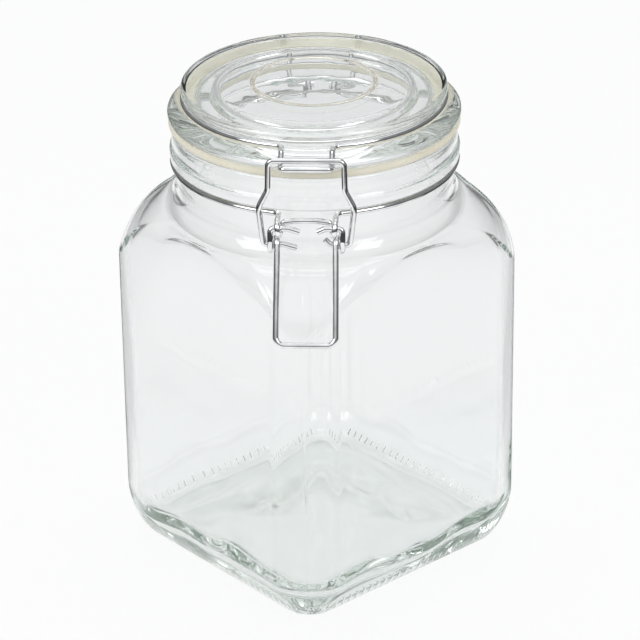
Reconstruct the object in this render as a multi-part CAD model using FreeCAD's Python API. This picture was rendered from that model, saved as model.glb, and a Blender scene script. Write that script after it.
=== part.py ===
"""Square glass storage jar of about one litre, with a clip-top glass lid.

Millimetres, +Z up.  The jar stands on z = 0 with its mouth on the Z axis.
The clasp is on the -Y side, over one rounded corner of the square body,
and the lid's hinge is opposite it on the +Y side.
"""
import FreeCAD, Part
import math
import os

from FreeCAD import Vector

# ---- Jar ----
body_width = 105.6          # across two flat faces
corner_radius = 17.2        # upright corners of the square body
body_turn = -0.9            # degrees that the square stands round from the clasp
wall = 3.4                  # glass of the faces and shoulder
base_thickness = 7.0
heel_height = 20.0          # where the faces start to curve in to the base
heel_inset = 7.4
foot_radius = 2.5           # edge between the heel and the resting face
inner_heel = 9.0            # round between the inside faces and floor
jar_height = 156.8          # flat top of the rim, under the gasket
finish_height = 26.4        # rim's top over the top of the shoulder's circle
shoulder_in_neck = 5.354    # middle of the shoulder's circle, in from the neck
shoulder_stand_out = 0.3    # reach of the shoulder's circle past the corners
arch_round = 6.0            # blend of the flat faces' arched tops into the shoulder
inner_arch_round = 3.0
neck_radius = 46.8
neck_fillet = 5.0           # blend of the shoulder into the neck, outside and inside
neck_wall = 5.6
mouth_round = 1.2           # inner edge of the rim
rim_stand_out = 1.2         # upper band of the rim past the neck
rim_round = 1.4
bead_stand_out = 2.0        # ring above the neck wire, past the neck
bead_drop = 7.2             # rim's top over the bead
bead_width = 4.2
bead_round = 1.0
bead_step = 0.6             # slope from the bead in to the rim's band

# ---- Gasket ----
gasket_thickness = 2.8
gasket_overhang = 0.9       # past the rim's band
gasket_spigot_gap = 0.8     # clearance round the lid's spigot

# ---- Lid ----
lid_height = 11.4           # flange underside to the top face
flange_overhang = 1.2       # flange past the rim's band
flange_edge = 1.9           # straight and rounded part of the flange's edge
flange_step = 4.6           # top disc in from the flange
disc_thickness = 3.6
disc_round = 1.5
spigot_mouth_gap = 2.2      # clearance of the spigot in the mouth
spigot_wall = 5.0
spigot_depth = 5.0
spigot_round = 1.0
well_round = 2.5
top_glass = 4.0             # glass between the hollow and the top face
ring_mark_radius = 20.6     # raised ring on the top face
ring_mark_width = 1.3
ring_mark_height = 0.35

# ---- Wires ----
wire = 2.0                  # diameter of all four wires
seat_gap = 0.06             # clearance of a wire ring in its glass groove
under_gap = 0.2             # clearance of a wire ring under the bead or the lid's disc
hinge_gap = 0.05            # radial running clearance in every wire eye
side_gap = 0.2              # sideways clearance between turns of a wire
lid_wire_show = 0.25        # lid wire's ring past the disc's edge
bend = 1.25 * wire          # usual bend radius of a wire's centre line
tight_bend = 0.65 * wire
wide_bend = 5.0
tongue_corner = 1.8         # front corners of the tongue and top corners of the bail
ring_lead = 3.8             # straight run from a bend onto a ring

# ---- Clasp ----
pivot_stand_out = 9.5       # lever's pivot past the neck
pivot_drop = 1.1            # lever's pivot under the neck wire
pivot_gap = 0.2348          # clearance between the neck wire's eye and the lever's coil
pivot_lean = 11.842         # degrees that the bail's pivot sits in under the lever's
crossbar_stand_out = 3.8    # bail's crossbar past the lid's flange
crossbar_drop = 0.75        # bail's crossbar under the lid wire's ring
crossbar_gap = 0.3          # crossbar over the lid wire's tongue
tongue_half = 8.2           # half width of the tongue
tongue_past_crossbar = 1.75
tongue_bend_back = 4.7      # where the tongue starts down, behind the crossbar
tongue_bend_front = 1.0     # where it is flat again
eye_half = 9.4              # neck wire where it comes forward to its eye
strand_gap = 0.25           # sideways clearance of the lever's coil past the eye
arm_gap = 0.3               # and of the bail's arms past the coil
bail_waist_out = 1.55       # widest part of the bail past its bottom
bail_waist_height = 12.6    # over the bail's pivot
bail_arm_gap = 2.0          # bail's arms past the sides of the tongue
bail_arm_rise = 6.0         # from the widest part up to the straight arms
lever_length = 29.0         # lever's bar under the bail's pivot
lever_stand_out = 2.754     # lever's bar past the corner of the body
lever_corner = 2.8
lever_stub_ends = (2.2, 3.6)    # how near the middle the lever's ends come, left and right
lever_stub_drop = 1.2           # how far those ends are bent down
bail_stub_ends = (3.2, 6.0)     # the same for the bail's ends
bail_stub_rises = (-1.3, 1.7)
stub_straight = 7.6             # straight part of every end, from the middle

# ---- Hinge ----
hinge_stand_out = 5.1       # lid's hinge pin past the neck
hinge_half = 12.7           # lid wire's legs at the hinge, from the middle
hinge_eye_half = 6.0        # neck wire's eyes on them, from the middle
hinge_pin_end = 2.6

# ---- What follows from these sizes ----
half_width = body_width / 2
corner_centre = half_width - corner_radius
corner_reach = math.sqrt(2) * corner_centre + corner_radius
shoulder_centre = neck_radius - shoulder_in_neck
shoulder_radius = corner_reach + shoulder_stand_out - shoulder_centre
shoulder_height = jar_height - finish_height - shoulder_radius
mouth_radius = neck_radius - neck_wall
rim_radius = neck_radius + rim_stand_out
bead_radius = neck_radius + bead_stand_out
bead_top = jar_height - bead_drop
bead_bottom = bead_top - bead_width
spigot_radius = mouth_radius - spigot_mouth_gap
well_radius = spigot_radius - spigot_wall
gasket_inner = spigot_radius + gasket_spigot_gap
gasket_outer = rim_radius + gasket_overhang
flange_radius = rim_radius + flange_overhang
flange_bottom = jar_height + gasket_thickness
disc_radius = flange_radius - flange_step
lid_top = flange_bottom + lid_height
disc_bottom = lid_top - disc_thickness

eye_radius = wire + hinge_gap
eye_pitch = wire + side_gap
neck_wire_radius = neck_radius + seat_gap + wire / 2
neck_wire_height = bead_bottom - under_gap - wire / 2
lid_wire_radius = disc_radius + lid_wire_show - wire / 2
lid_wire_height = disc_bottom - under_gap - wire / 2
groove_radius = lid_wire_radius - wire / 2 - seat_gap

# Pivots and bars of the clasp, out from the axis and up from the base.
pivot_spacing = 2 * eye_radius + wire + pivot_gap
lever_pivot_out = neck_radius + pivot_stand_out
lever_pivot_height = neck_wire_height - pivot_drop
bail_pivot_out = lever_pivot_out - pivot_spacing * math.sin(math.radians(pivot_lean))
bail_pivot_height = lever_pivot_height - pivot_spacing * math.cos(math.radians(pivot_lean))
crossbar_out = flange_radius + crossbar_stand_out
crossbar_height = lid_wire_height - crossbar_drop
tongue_height = crossbar_height - wire - crossbar_gap
tongue_reach = crossbar_out + tongue_past_crossbar
lever_bar_out = corner_reach + lever_stand_out
lever_bar_height = bail_pivot_height - lever_length
coil_half = eye_half + wire + strand_gap
lever_half = coil_half - eye_pitch + strand_gap
bail_half_bottom = coil_half + wire + arm_gap
bail_half_wide = bail_half_bottom + bail_waist_out
bail_half_top = tongue_half + wire + bail_arm_gap
bail_wide_height = bail_pivot_height + bail_waist_height
hinge_out = neck_radius + hinge_stand_out
hinge_pin_height = neck_wire_height + eye_radius


def point(r, z):
    """A point of a profile in the XZ plane."""
    return Vector(r, 0, z)


def outline(*steps):
    """Closed face from points, with (middle, end) pairs for arcs."""
    edges, here = [], steps[0]
    for step in steps[1:] + (steps[0],):
        if isinstance(step, tuple):
            edges.append(Part.Arc(here, step[0], step[1]).toShape())
            here = step[1]
        elif step.distanceToPoint(here) > 1e-6:
            edges.append(Part.LineSegment(here, step).toShape())
            here = step
    return Part.Face(Part.Wire(edges))


def on_circle(centre, radius, degrees):
    """Point of a circle in the XZ plane."""
    angle = math.radians(degrees)
    return centre + Vector(radius * math.cos(angle), 0, radius * math.sin(angle))


def arc(centre, radius, first, last):
    """Middle and end of an arc that starts at angle first."""
    return on_circle(centre, radius, (first + last) / 2), on_circle(centre, radius, last)


def revolve(face):
    return face.revolve(Vector(0, 0, 0), Vector(0, 0, 1), 360)


def revolve_closed(*steps):
    return revolve(outline(*steps))


# ---- Square body ----
def side_outline(reach, bottom, top, height, inset, foot):
    """Half section of the body from its middle (x = 0) to its side (x = reach)."""
    radius = (height ** 2 + inset ** 2) / (2 * inset)
    centre = point(reach - radius, bottom + height)
    foot_centre = point(centre.x + math.sqrt((radius - foot) ** 2 - (height - foot) ** 2), bottom + foot)
    slope = math.degrees(math.atan2(foot_centre.z - centre.z, foot_centre.x - centre.x))
    steps = [point(0, bottom), point(foot_centre.x, bottom)]
    if foot > 0:
        steps.append(arc(foot_centre, foot, -90, slope))
    steps.append(arc(centre, radius, slope, 0))
    steps += [point(reach, top), point(0, top)]
    return outline(*steps)


def square_block(width, radius, bottom, top, height, inset, foot):
    """Square block with round corners whose sides curve in at the bottom."""
    middle = width / 2 - radius
    side = side_outline(width / 2, bottom, top, height, inset, foot)
    side.translate(Vector(0, -middle, 0))
    half = side.extrude(Vector(0, 2 * middle, 0))
    corner = revolve(side_outline(radius, bottom, top, height, inset, foot))
    block = None
    for turn in range(4):
        pieces = [half.copy(), corner.copy()]
        pieces[1].translate(Vector(middle, middle, 0))
        for piece in pieces:
            piece.rotate(Vector(0, 0, 0), Vector(0, 0, 1), 90 * turn)
            block = piece if block is None else block.fuse(piece)
    block.rotate(Vector(0, 0, 0), Vector(0, 0, 1), 45 + body_turn)
    return block.removeSplitter()


def shoulder_steps(radius, neck, fillet):
    """Shoulder circle, its blend and the start of an upright neck, from the outside in."""
    centre = point(shoulder_centre, shoulder_height)
    across = neck + fillet - shoulder_centre
    blend = point(neck + fillet, shoulder_height + math.sqrt((radius + fillet) ** 2 - across ** 2))
    slope = math.degrees(math.atan2(blend.z - centre.z, blend.x - centre.x))
    return [point(shoulder_centre + radius, shoulder_height),
            arc(centre, radius, 0, slope),
            arc(blend, fillet, 180 + slope, 180)]


def round_arches(block, radius):
    """Blend the edges where the flat faces and corners meet the round shoulder."""
    arches = []
    for edge in block.Edges:
        box = edge.BoundBox
        arched = box.ZMin > shoulder_height and box.ZMax < bead_bottom and box.ZLength > 1
        if arched and len(block.ancestorsOfType(edge, Part.Face)) == 2:
            arches.append(edge)
    return block.makeFillet(radius, arches)


def make_jar_body():
    rim_centre = point(rim_radius - rim_round, jar_height - rim_round)
    outer_steps = [point(0, -1), point(shoulder_centre + shoulder_radius, -1)]
    outer_steps += shoulder_steps(shoulder_radius, neck_radius, neck_fillet)
    outer_steps += [
        point(neck_radius, bead_bottom),
        point(bead_radius - bead_round, bead_bottom),
        arc(point(bead_radius - bead_round, bead_bottom + bead_round), bead_round, -90, 0),
        point(bead_radius, bead_top - bead_round),
        arc(point(bead_radius - bead_round, bead_top - bead_round), bead_round, 0, 60),
        point(rim_radius, bead_top + bead_step),
        point(rim_radius, jar_height - rim_round),
        arc(rim_centre, rim_round, 0, 90),
        point(0, jar_height),
    ]
    outside = square_block(body_width, corner_radius, 0, jar_height, heel_height, heel_inset, foot_radius)
    outside = round_arches(outside.common(revolve_closed(*outer_steps)), arch_round)

    mouth_centre = point(mouth_radius + mouth_round, jar_height - mouth_round)
    inner_radius = shoulder_radius - wall
    inner_steps = [point(0, 0), point(shoulder_centre + inner_radius, 0)]
    inner_steps += shoulder_steps(inner_radius, mouth_radius, neck_fillet)
    inner_steps += [
        point(mouth_radius, jar_height - mouth_round),
        arc(mouth_centre, mouth_round, 180, 90),
        point(mouth_centre.x, jar_height + 1),
        point(0, jar_height + 1),
    ]
    inside = square_block(body_width - 2 * wall, corner_radius - wall, base_thickness,
                          jar_height + 1, inner_heel, inner_heel, 0)
    inside = round_arches(inside.common(revolve_closed(*inner_steps)), inner_arch_round)
    return outside.cut(inside)


# ---- Lid and gasket ----
def make_gasket():
    low, high, turn = jar_height, flange_bottom, gasket_thickness / 2
    middle = point(gasket_outer - turn, (low + high) / 2)
    return revolve_closed(point(gasket_inner, low), point(middle.x, low),
                          arc(middle, turn, -90, 90), point(gasket_inner, high))


def make_lid_glass():
    flange_top = lid_wire_height - wire / 2 - seat_gap
    edge_centre = point(flange_radius - flange_edge, flange_bottom + flange_edge)
    spigot_bottom = flange_bottom - spigot_depth
    spigot_centre = point(spigot_radius - spigot_round, spigot_bottom + spigot_round)
    inner_centre = point(well_radius + spigot_round, spigot_bottom + spigot_round)
    well_top = lid_top - top_glass
    well_centre = point(well_radius - well_round, well_top - well_round)
    disc_centre = point(disc_radius - disc_round, lid_top - disc_round)
    under_centre = point(disc_radius - disc_round, disc_bottom + disc_round)
    glass = revolve_closed(
        point(0, well_top),
        point(well_centre.x, well_top),
        arc(well_centre, well_round, 90, 0),
        point(well_radius, inner_centre.z),
        arc(inner_centre, spigot_round, 180, 270),
        point(spigot_centre.x, spigot_bottom),
        arc(spigot_centre, spigot_round, -90, 0),
        point(spigot_radius, flange_bottom),
        point(edge_centre.x, flange_bottom),
        arc(edge_centre, flange_edge, -90, 50),
        point(lid_wire_radius + wire / 2, flange_top),
        point(groove_radius, flange_top),
        point(groove_radius, disc_bottom),
        point(under_centre.x, disc_bottom),
        arc(under_centre, disc_round, -90, 0),
        point(disc_radius, disc_centre.z),
        arc(disc_centre, disc_round, 0, 90),
        point(0, lid_top),
    )
    low, high = ring_mark_radius - ring_mark_width / 2, ring_mark_radius + ring_mark_width / 2
    ring = revolve_closed(point(low, lid_top - 0.5), point(high, lid_top - 0.5), point(high, lid_top),
                          (point(ring_mark_radius, lid_top + ring_mark_height), point(low, lid_top)))
    return glass.fuse(ring)


# ---- Wires ----
def bent_wire(route):
    """Round wire along corners given as (point, bend radius); the ends have radius 0."""
    corners = [Vector(*place) for place, _ in route]
    edges, here = [], corners[0]
    for index in range(1, len(route) - 1):
        into = (corners[index - 1] - corners[index]).normalize()
        away = (corners[index + 1] - corners[index]).normalize()
        turn = math.pi - into.getAngle(away)
        radius = route[index][1]
        back = radius * math.tan(turn / 2)
        start, end = corners[index] + into * back, corners[index] + away * back
        to_centre = (into + away).normalize()
        centre = corners[index] + to_centre * (radius / math.cos(turn / 2))
        middle = centre - to_centre * radius
        if start.distanceToPoint(here) > 1e-4:
            edges.append(Part.LineSegment(here, start).toShape())
        else:
            start = here
        edges.append(Part.Arc(start, middle, end).toShape())
        here = end
    edges.append(Part.LineSegment(here, corners[-1]).toShape())
    path = Part.Wire(edges)
    section = Part.Wire(Part.Circle(corners[0], corners[1] - corners[0], wire / 2).toShape())
    return path.makePipeShell([section], True, False)


def ring_corners(radius, height, first, last, count):
    """Corners of a polygon whose bends make one circle round the axis, between two angles."""
    step = (last - first) / count
    reach = radius / math.cos(math.radians(step / 2))
    corners = []
    for index in range(count):
        angle = math.radians(first + step * (index + 0.5))
        corners.append(((reach * math.cos(angle), reach * math.sin(angle), height), radius))
    return corners


def turn_corners(out, height, radius, starts, count, across, step):
    """Corners of a wire turn about an X-wise pin; starts and sign of count give its sense."""
    corners = []
    for index in range(abs(count)):
        angle = math.radians(starts + math.copysign(90 * index, count))
        reach = radius * math.sqrt(2)
        corners.append(((across + step * index / 4, -out + reach * math.cos(angle),
                         height + reach * math.sin(angle)), radius))
    return corners


def mirrored(route):
    """The other half of a symmetric wire, in reverse order."""
    return [((-place[0], place[1], place[2]), radius) for place, radius in reversed(route)]


def onto_ring(radius, height, half, side):
    """Ring angle where a strand at x = half leaves, and the corner between them.

    side is +1 at the back and -1 at the front.
    """
    angle = side * math.acos((half + ring_lead) / radius)
    along = ring_lead / math.sin(angle)
    corner = (half, radius * math.sin(angle) + along * math.cos(angle), height)
    return math.degrees(angle), corner


def half_ring(radius, height, back_half, front_half):
    """Right half of a wire ring, from a strand at the back to one at the front."""
    back_angle, back_corner = onto_ring(radius, height, back_half, 1)
    front_angle, front_corner = onto_ring(radius, height, front_half, -1)
    return ([(back_corner, bend)] + ring_corners(radius, height, back_angle, front_angle, 6)
            + [(front_corner, bend)])


def make_neck_wire():
    hinge_eye = turn_corners(-hinge_out, hinge_pin_height, eye_radius, -45, 3, hinge_eye_half, -eye_pitch)
    free_end = (hinge_eye_half - eye_pitch * 0.75, hinge_out - eye_radius, hinge_pin_height - 0.3)
    route = [(free_end, 0)] + list(reversed(hinge_eye))
    route += half_ring(neck_wire_radius, neck_wire_height, hinge_eye_half, eye_half)
    eye_top = lever_pivot_height + eye_radius
    route.append(((eye_half, -lever_pivot_out + 3.5, eye_top), bend))
    route += turn_corners(lever_pivot_out, lever_pivot_height, eye_radius, 135, 3, eye_half, -eye_pitch)
    link_out = lever_pivot_out - eye_radius
    link_height = lever_pivot_height + tight_bend
    route.append(((eye_half - eye_pitch * 0.75, -link_out, link_height), tight_bend))
    route.append(((3.5, -link_out, link_height + 0.5), 8))
    return bent_wire(route + mirrored(route))


def make_lid_wire():
    height = lid_wire_height
    route = [((hinge_pin_end, hinge_out, hinge_pin_height), 0),
             ((hinge_half, hinge_out, hinge_pin_height), bend),
             ((hinge_half, hinge_out, height), bend)]
    route += half_ring(lid_wire_radius, height, hinge_half, tongue_half)
    route += [((tongue_half, tongue_bend_back - crossbar_out, height), bend),
              ((tongue_half, tongue_bend_front - crossbar_out, tongue_height), tight_bend),
              ((tongue_half, -tongue_reach, tongue_height), tongue_corner)]
    return bent_wire(route + mirrored(route))


def bail_point(half, height):
    """Point of the bail's flat plane, from its pivot up to its crossbar."""
    share = (height - bail_pivot_height) / (crossbar_height - bail_pivot_height)
    return half, -(bail_pivot_out + share * (crossbar_out - bail_pivot_out)), height


def bail_side(stub_end, stub_rise):
    """Right half of the bail, from its bent end to its crossbar."""
    return [((stub_end, -bail_pivot_out, bail_pivot_height + stub_rise), 0),
            ((stub_straight, -bail_pivot_out, bail_pivot_height), wire),
            ((bail_half_bottom, -bail_pivot_out, bail_pivot_height), tight_bend),
            (bail_point(bail_half_wide, bail_wide_height), wide_bend),
            (bail_point(bail_half_top + 0.2, bail_wide_height + bail_arm_rise), wide_bend),
            (bail_point(bail_half_top, crossbar_height), tongue_corner)]


def make_bail():
    left = bail_side(bail_stub_ends[0], bail_stub_rises[0])
    right = bail_side(bail_stub_ends[1], bail_stub_rises[1])
    return bent_wire(right + mirrored(left))


def lever_side(stub_end):
    """Right half of the lever: bent end, pin, coil round the bail's end, and arm."""
    reach = math.hypot(lever_bar_out - bail_pivot_out, bail_pivot_height - lever_bar_height)
    spread = math.atan2(bail_pivot_height - lever_bar_height, lever_bar_out - bail_pivot_out)
    lean = math.acos(eye_radius / reach) - spread
    last_out = bail_pivot_out + eye_radius * (1 - math.sin(lean)) / math.cos(lean)
    coil = turn_corners(bail_pivot_out, bail_pivot_height, eye_radius, 225, 3, coil_half,
                        -eye_pitch * 4 / 3)
    return ([((stub_end, -lever_pivot_out, lever_pivot_height - lever_stub_drop), 0),
             ((stub_straight - 1.6, -lever_pivot_out, lever_pivot_height), wire),
             ((coil_half, -lever_pivot_out, lever_pivot_height), tight_bend),
             ((coil_half, -bail_pivot_out - eye_radius, bail_pivot_height + eye_radius), wire)]
            + coil
            + [((coil_half - eye_pitch, -last_out, bail_pivot_height + eye_radius), eye_radius),
               ((lever_half, -lever_bar_out, lever_bar_height), lever_corner)])


def make_lever():
    return bent_wire(lever_side(lever_stub_ends[1]) + mirrored(lever_side(lever_stub_ends[0])))


nodes = {
    "jar_body": make_jar_body,
    "gasket": make_gasket,
    "lid_glass": make_lid_glass,
    "neck_wire": make_neck_wire,
    "lid_wire": make_lid_wire,
    "bail": make_bail,
    "lever": make_lever,
}
os.makedirs("parts", exist_ok=True)
for name, make in nodes.items():
    shape = make()
    shape = shape.Solids[0] if len(shape.Solids) == 1 else shape
    shape.exportStep(f"parts/{name}.step")
    print(f"{name}: {len(shape.Solids)} solid, {shape.Volume / 1000:.2f} cm3, valid {shape.isValid()}")
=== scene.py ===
import math

import bpy
import numpy as np
from mathutils import Matrix, Vector


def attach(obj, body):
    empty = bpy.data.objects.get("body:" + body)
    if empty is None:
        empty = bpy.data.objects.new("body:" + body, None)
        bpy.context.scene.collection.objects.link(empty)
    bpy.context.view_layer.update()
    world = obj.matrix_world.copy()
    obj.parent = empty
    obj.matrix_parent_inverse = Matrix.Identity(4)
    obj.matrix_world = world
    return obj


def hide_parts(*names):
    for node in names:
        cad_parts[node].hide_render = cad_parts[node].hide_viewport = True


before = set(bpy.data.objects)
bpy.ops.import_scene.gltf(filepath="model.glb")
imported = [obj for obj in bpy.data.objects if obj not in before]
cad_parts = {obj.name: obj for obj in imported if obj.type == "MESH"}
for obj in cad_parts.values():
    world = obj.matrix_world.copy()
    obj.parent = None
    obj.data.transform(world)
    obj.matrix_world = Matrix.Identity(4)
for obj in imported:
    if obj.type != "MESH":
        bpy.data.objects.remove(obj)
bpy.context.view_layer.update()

# ---------------------------------------------------------------------------------------
# Jar body.  Pressed soda-lime glass, square with round corners under a round shoulder and
# neck.  It leaves a two part mould, so a fine seam runs up two opposite corners.
# ---------------------------------------------------------------------------------------
MM = 0.001
FACE_REACH = 52.8 * MM
CORNER_RADIUS = 17.2 * MM
SQUARE_TURN = math.radians(-0.9)
WALL = 3.4 * MM
FLOOR_THICKNESS = 7.0 * MM
HEEL_HEIGHT = 20.0 * MM
HEEL_INSET = 7.4 * MM
FOOT_RADIUS = 2.5 * MM
SHOULDER_RADIUS = 26.4 * MM
SHOULDER_HEIGHT = 104.0 * MM
CORNER_REACH = math.sqrt(2) * (FACE_REACH - CORNER_RADIUS) + CORNER_RADIUS
SHOULDER_CENTRE = CORNER_REACH + 0.3 * MM - SHOULDER_RADIUS
ARCH_ROUND = 9.0 * MM
INNER_ARCH_ROUND = 7.0 * MM
NECK_RADIUS = 46.8 * MM
NECK_FILLET = 9.0 * MM
MOUTH_RADIUS = 41.2 * MM
JAR_HEIGHT = 156.8 * MM
RIM_RADIUS = 48.0 * MM
BEAD_RADIUS = 48.8 * MM
BEAD_BOTTOM = 145.4 * MM
BEAD_TOP = 149.6 * MM
BEAD_ROUND = 1.0 * MM
BEAD_FILLET = 0.5 * MM
RIM_ROUND = 1.4 * MM
MOUTH_ROUND = 1.2 * MM
SEAM_HEIGHT = 0.12 * MM
SEAM_HALF_ANGLE = math.radians(0.22)
SEAM_BOTTOM = 3 * MM
SEAM_FADE = 6 * MM
SEAM_INNER_REACH = 46 * MM
BODY_COLUMNS = 440
UPRIGHT_STEPS = 14


def arc_rows(centre, radius, first, last, count):
    """Points of an arc in (out, up), by angles in degrees."""
    turns = np.radians(np.linspace(first, last, count))
    return [(centre[0] + radius * math.cos(t), centre[1] + radius * math.sin(t)) for t in turns]


def closed_skin(name, rows):
    """Mesh of rings from one pole to the other; rows has shape (rings, columns, 3)."""
    rings, columns = rows.shape[:2]
    poles = [rows[0].mean(0), rows[-1].mean(0)]
    points = np.vstack([rows.reshape(-1, 3), poles])
    index = np.arange(rings * columns).reshape(rings, columns)
    after = np.roll(index, -1, axis=1)
    quads = np.stack([index[:-1], after[:-1], after[1:], index[1:]], axis=-1).reshape(-1, 4)
    first, last = rings * columns, rings * columns + 1
    faces = [tuple(q) for q in quads.tolist()]
    faces += [(first, b, a) for a, b in zip(index[0].tolist(), after[0].tolist())]
    faces += [(last, a, b) for a, b in zip(index[-1].tolist(), after[-1].tolist())]
    mesh = bpy.data.meshes.new(name)
    mesh.from_pydata(points.tolist(), [], faces)
    mesh.shade_smooth()
    mesh.validate()
    piece = bpy.data.objects.new(name, mesh)
    bpy.context.scene.collection.objects.link(piece)
    return piece


def angle_from(angles, place):
    """How far round the axis each angle is from a place, either way."""
    return np.abs((angles - place + math.pi) % (2 * math.pi) - math.pi)


def column_angles(count, corners, seams):
    """Directions round the axis, closer together at the corners and the seams."""
    fine = np.linspace(0, 2 * math.pi, 20001)
    weight = np.ones_like(fine)
    for corner in corners:
        weight += 1.6 / (1 + np.exp((angle_from(fine, corner) - math.radians(13)) / math.radians(2)))
    for seam in seams:
        weight += 14 * np.exp(-(angle_from(fine, seam) / math.radians(0.4)) ** 2)
    total = np.concatenate([[0], np.cumsum((weight[1:] + weight[:-1]) / 2)])
    return np.interp(np.arange(count) * total[-1] / count, total, fine)


def square_reach(angles, rounding):
    """Distance from the axis to a rounded square whose corner centres stay in place."""
    core = FACE_REACH - CORNER_RADIUS
    local = np.abs((angles - SQUARE_TURN) % (math.pi / 2) - math.pi / 4)
    flat = (core + rounding) / np.cos(local)
    along = core * (np.cos(local) + np.sin(local))
    across = core * (np.cos(local) - np.sin(local))
    corner = along + np.sqrt(np.maximum(rounding ** 2 - across ** 2, 0))
    return np.where(flat * np.sin(local) > core, corner, flat)


corner_angles = [SQUARE_TURN + turn * math.pi / 2 for turn in range(4)]
seam_angles = [corner_angles[1], corner_angles[3]]
columns = column_angles(BODY_COLUMNS, corner_angles, seam_angles)
ones = np.ones(BODY_COLUMNS)
seam_rise = sum(SEAM_HEIGHT * np.exp(-(angle_from(columns, place) / SEAM_HALF_ANGLE) ** 2)
                for place in seam_angles)


def heel_rows():
    """Foot and heel of the outer skin, each row as (reach, height)."""
    radius = (HEEL_HEIGHT ** 2 + HEEL_INSET ** 2) / (2 * HEEL_INSET)
    start = math.sqrt((radius - FOOT_RADIUS) ** 2 - (HEEL_HEIGHT - FOOT_RADIUS) ** 2) - radius
    slope = math.degrees(math.atan2(FOOT_RADIUS - HEEL_HEIGHT, start + radius))
    profile = (arc_rows((start, FOOT_RADIUS), FOOT_RADIUS, -90, slope, 7)[:-1]
               + arc_rows((-radius, HEEL_HEIGHT), radius, slope, 0, 16))
    return [(square_reach(columns, CORNER_RADIUS + out), height) for out, height in profile]


def shoulder_rows(reach, radius, rounding, neck, start_height):
    """Upright side, arch blend, shoulder and neck fillet rows, each as (reach, height)."""
    across = neck + NECK_FILLET - SHOULDER_CENTRE
    fillet_height = SHOULDER_HEIGHT + math.sqrt((radius + NECK_FILLET) ** 2 - across ** 2)
    neck_slope = math.atan2(fillet_height - SHOULDER_HEIGHT, across)
    steepest = math.cos(neck_slope - math.radians(1.0))
    blend = np.minimum(rounding, (reach - SHOULDER_CENTRE - radius * steepest) / (1 - steepest))
    middle = reach - blend
    middle_height = SHOULDER_HEIGHT + np.sqrt((radius - blend) ** 2 - (middle - SHOULDER_CENTRE) ** 2)
    slope = np.arctan2(middle_height - SHOULDER_HEIGHT, middle - SHOULDER_CENTRE)
    skin = [(reach, start_height + (middle_height - start_height) * share)
            for share in np.linspace(0, 1, UPRIGHT_STEPS)[1:-1]]
    for turn in (slope * share for share in np.linspace(0, 1, 10)):
        skin.append((middle + blend * np.cos(turn), middle_height + blend * np.sin(turn)))
    for turn in (slope + (neck_slope - slope) * share for share in np.linspace(0, 1, 16)[1:]):
        skin.append((SHOULDER_CENTRE + radius * np.cos(turn), SHOULDER_HEIGHT + radius * np.sin(turn)))
    for turn in np.linspace(math.pi + neck_slope, math.pi, 10)[1:]:
        skin.append((neck + NECK_FILLET + NECK_FILLET * math.cos(turn),
                     fillet_height + NECK_FILLET * math.sin(turn)))
    return skin


# Outside, from the middle of the base, which is pushed up a little, to the rim and over
# it into the mouth.
PUSH_UP = 1.0 * MM
PUSH_UP_SHAPE = [(0.04, 1), (0.16, 0.99), (0.28, 0.96), (0.36, 0.9), (0.42, 0.78), (0.47, 0.62),
                 (0.51, 0.47), (0.55, 0.32), (0.6, 0.17), (0.66, 0.06), (0.72, 0.01), (0.8, 0),
                 (0.88, 0), (0.96, 0)]
heel = heel_rows()
base_edge = heel[0][0]
outside = (
    [(base_edge * share, PUSH_UP * rise) for share, rise in PUSH_UP_SHAPE]
    + heel
    + shoulder_rows(square_reach(columns, CORNER_RADIUS), SHOULDER_RADIUS, ARCH_ROUND, NECK_RADIUS,
                    HEEL_HEIGHT)
    + [(NECK_RADIUS, 138 * MM), (NECK_RADIUS, 142 * MM)]
    + arc_rows((NECK_RADIUS + BEAD_FILLET, BEAD_BOTTOM - BEAD_FILLET), BEAD_FILLET, 180, 90, 4)
    + arc_rows((BEAD_RADIUS - BEAD_ROUND, BEAD_BOTTOM + BEAD_ROUND), BEAD_ROUND, -90, 0, 6)
    + arc_rows((BEAD_RADIUS - BEAD_ROUND, BEAD_TOP - BEAD_ROUND), BEAD_ROUND, 0, 60, 5)
    + arc_rows((RIM_RADIUS + BEAD_FILLET, BEAD_TOP + 0.9 * MM), BEAD_FILLET, 240, 180, 4)
    + [(RIM_RADIUS, 152 * MM), (RIM_RADIUS, 154 * MM)]
    + arc_rows((RIM_RADIUS - RIM_ROUND, JAR_HEIGHT - RIM_ROUND), RIM_ROUND, 0, 90, 7)
    + [(45 * MM, JAR_HEIGHT), (43.4 * MM, JAR_HEIGHT)]
    + arc_rows((MOUTH_RADIUS + MOUTH_ROUND, JAR_HEIGHT - MOUTH_ROUND), MOUTH_ROUND, 90, 180, 6)
    + [(MOUTH_RADIUS, 152 * MM), (MOUTH_RADIUS, 146 * MM), (MOUTH_RADIUS, 139 * MM)]
)

# Inside, from the middle of the floor up to the neck.  The mould leaves the glass thick
# and a little uneven where the floor runs up into the walls.
BOWL_HEIGHT = 13 * MM
BOWL_INSET = 12 * MM
FLOOR_DISH = 1.1 * MM
inner_reach = square_reach(columns, CORNER_RADIUS - WALL)
inset_share = BOWL_INSET / (FACE_REACH - WALL)
floor_reach = (FACE_REACH - WALL - BOWL_INSET) / (FACE_REACH - WALL)
inside = [(inner_reach * floor_reach * share, FLOOR_THICKNESS - FLOOR_DISH * (1 - share ** 2))
          for share in (0.03, 0.15, 0.3, 0.45, 0.6, 0.72, 0.82, 0.91)]
inside += [(inner_reach * (1 - inset_share * (1 - math.cos(turn))),
            FLOOR_THICKNESS + BOWL_HEIGHT * (1 + math.sin(turn)))
           for turn in np.radians(np.linspace(-90, 0, 30))]
inside += shoulder_rows(inner_reach, SHOULDER_RADIUS - WALL, INNER_ARCH_ROUND, MOUTH_RADIUS,
                        FLOOR_THICKNESS + BOWL_HEIGHT)

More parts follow.
